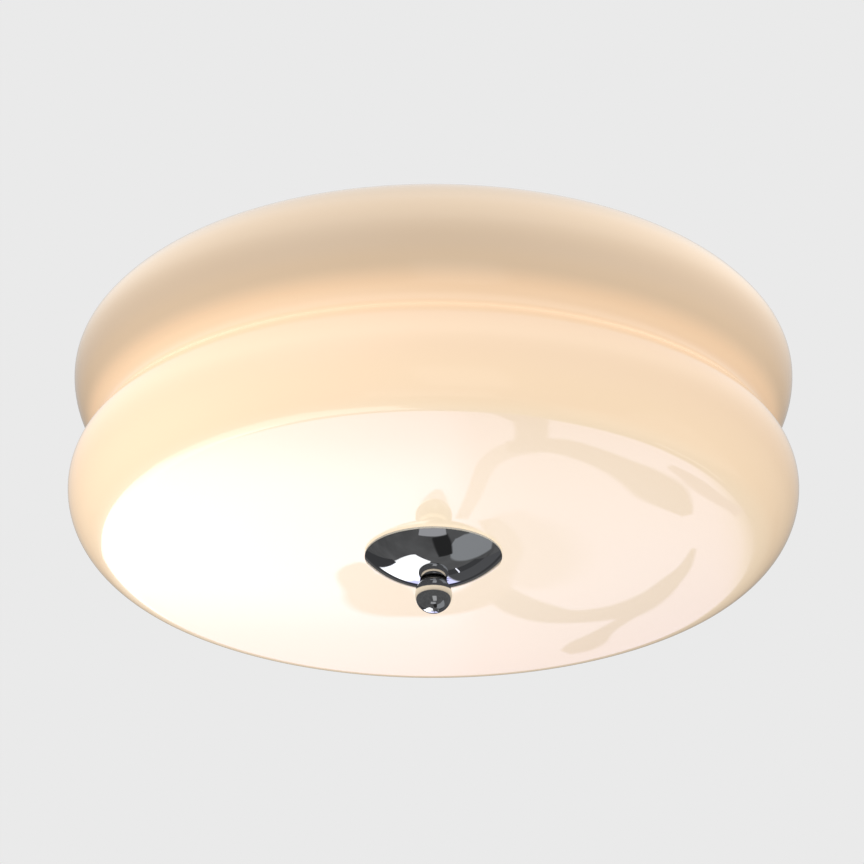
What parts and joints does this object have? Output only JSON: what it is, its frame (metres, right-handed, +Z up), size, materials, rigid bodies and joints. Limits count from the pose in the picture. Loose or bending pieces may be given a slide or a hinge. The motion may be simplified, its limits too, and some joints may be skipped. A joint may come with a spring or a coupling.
{
  "type": "flush ceiling light",
  "caption": "Round flush ceiling light: a two-tier opal glass shade held under a ceiling pan by a rod, a domed chrome cap and a ball finial, with screw-in lamps inside.",
  "frame": {"origin": "the centre of the ceiling face, on the axis of the rod", "axes": "+Z up into the ceiling, the light hangs down along -Z; the fixing slots lie along X, the first lamp along +Y"},
  "size_m": [0.4, 0.3998, 0.1831],
  "materials": {
    "opal_glass": "polished opal, cream",
    "chrome": "mirror polished",
    "white_enamel": "semi gloss white",
    "zinc_steel": "bright zinc",
    "nickel_sheet": "nickel plated sheet",
    "solder": "dull solder",
    "brass": "drawn brass",
    "silicone": "matt, translucent white",
    "black_rubber": "matt black",
    "ivory_plastic": "moulded, satin",
    "white_plastic": "moulded, glossy",
    "black_glass": "vitrified black insulator",
    "frosted_glass": "frosted white",
    "brown_insulation": "satin insulation",
    "blue_insulation": "satin insulation",
    "green_insulation": "satin insulation"
  },
  "bodies": {
    "fixture": {"base_plate": "white_enamel", "edge_gasket": "silicone", "cable_grommet": "black_rubber", "centre_rod": "zinc_steel", "rod_top_nut": "zinc_steel", "rod_top_washer": "zinc_steel", "rod_lock_washer": "zinc_steel", "rod_lower_nut": "zinc_steel", "lamp_bracket_1": "white_enamel", "lamp_bracket_2": "white_enamel", "lamp_bracket_3": "white_enamel", "bracket_rivets": "zinc_steel", "holder_body_1": "ivory_plastic", "holder_body_2": "ivory_plastic", "holder_body_3": "ivory_plastic", "holder_shell_1": "nickel_sheet", "holder_shell_2": "nickel_sheet", "holder_shell_3": "nickel_sheet", "holder_contact_1": "brass", "holder_contact_2": "brass", "holder_contact_3": "brass", "holder_screws": "zinc_steel", "terminal_block": "white_plastic", "terminal_barrels": "brass", "terminal_screws": "zinc_steel", "terminal_fixing_screw": "zinc_steel", "earth_screw": "brass", "earth_washer": "brass", "live_leads": "brown_insulation", "neutral_leads": "blue_insulation", "earth_lead": "green_insulation"},
    "shade": {"glass_shade": "opal_glass", "shade_bush": "silicone", "cap_gasket": "silicone", "finial_cap": "chrome"},
    "finial_slide": {"finial_washer": "black_rubber"},
    "finial_ball": {"finial": "chrome"},
    "lamp_slide_1": {"bulb_contact_1": "solder"},
    "lamp_1": {"bulb_globe_1": "frosted_glass", "bulb_base_1": "nickel_sheet", "bulb_insulator_1": "black_glass"},
    "lamp_slide_2": {"bulb_contact_2": "solder"},
    "lamp_2": {"bulb_globe_2": "frosted_glass", "bulb_base_2": "nickel_sheet", "bulb_insulator_2": "black_glass"},
    "lamp_slide_3": {"bulb_contact_3": "solder"},
    "lamp_3": {"bulb_globe_3": "frosted_glass", "bulb_base_3": "nickel_sheet", "bulb_insulator_3": "black_glass"}
  },
  "joints": [
    {"name": "shade_lower", "type": "slide", "parent": "fixture", "child": "shade", "axis": [0, 0, -1], "range_m": [0, 0.19]},
    {"name": "finial_travel", "type": "slide", "parent": "shade", "child": "finial_slide", "axis": [0, 0, -1], "range_m": [0, 0.00625]},
    {"name": "finial_turn", "type": "hinge", "parent": "finial_slide", "child": "finial_ball", "pos_m": [0, 0, -0.17286], "axis": [0, 0, -1], "range_deg": [0, 1800]},
    {"name": "lamp_travel_1", "type": "slide", "parent": "fixture", "child": "lamp_slide_1", "axis": [0, 1, 0], "range_m": [0, 0.02177]},
    {"name": "lamp_turn_1", "type": "hinge", "parent": "lamp_slide_1", "child": "lamp_1", "pos_m": [0, 0, -0.055], "axis": [0, 1, 0], "range_deg": [0, 2160]},
    {"name": "lamp_travel_2", "type": "slide", "parent": "fixture", "child": "lamp_slide_2", "axis": [-0.866, -0.5, 0], "range_m": [0, 0.02177]},
    {"name": "lamp_turn_2", "type": "hinge", "parent": "lamp_slide_2", "child": "lamp_2", "pos_m": [0, 0, -0.055], "axis": [-0.866, -0.5, 0], "range_deg": [0, 2160]},
    {"name": "lamp_travel_3", "type": "slide", "parent": "fixture", "child": "lamp_slide_3", "axis": [0.866, -0.5, 0], "range_m": [0, 0.02177]},
    {"name": "lamp_turn_3", "type": "hinge", "parent": "lamp_slide_3", "child": "lamp_3", "pos_m": [0, 0, -0.055], "axis": [0.866, -0.5, 0], "range_deg": [0, 2160]}
  ],
  "couplings": [
    {"joint": "finial_turn", "follows": "finial_travel", "rad_per_m": 5026.5},
    {"joint": "lamp_turn_1", "follows": "lamp_travel_1", "rad_per_m": 1731.4},
    {"joint": "lamp_turn_2", "follows": "lamp_travel_2", "rad_per_m": 1731.4},
    {"joint": "lamp_turn_3", "follows": "lamp_travel_3", "rad_per_m": 1731.4}
  ]
}
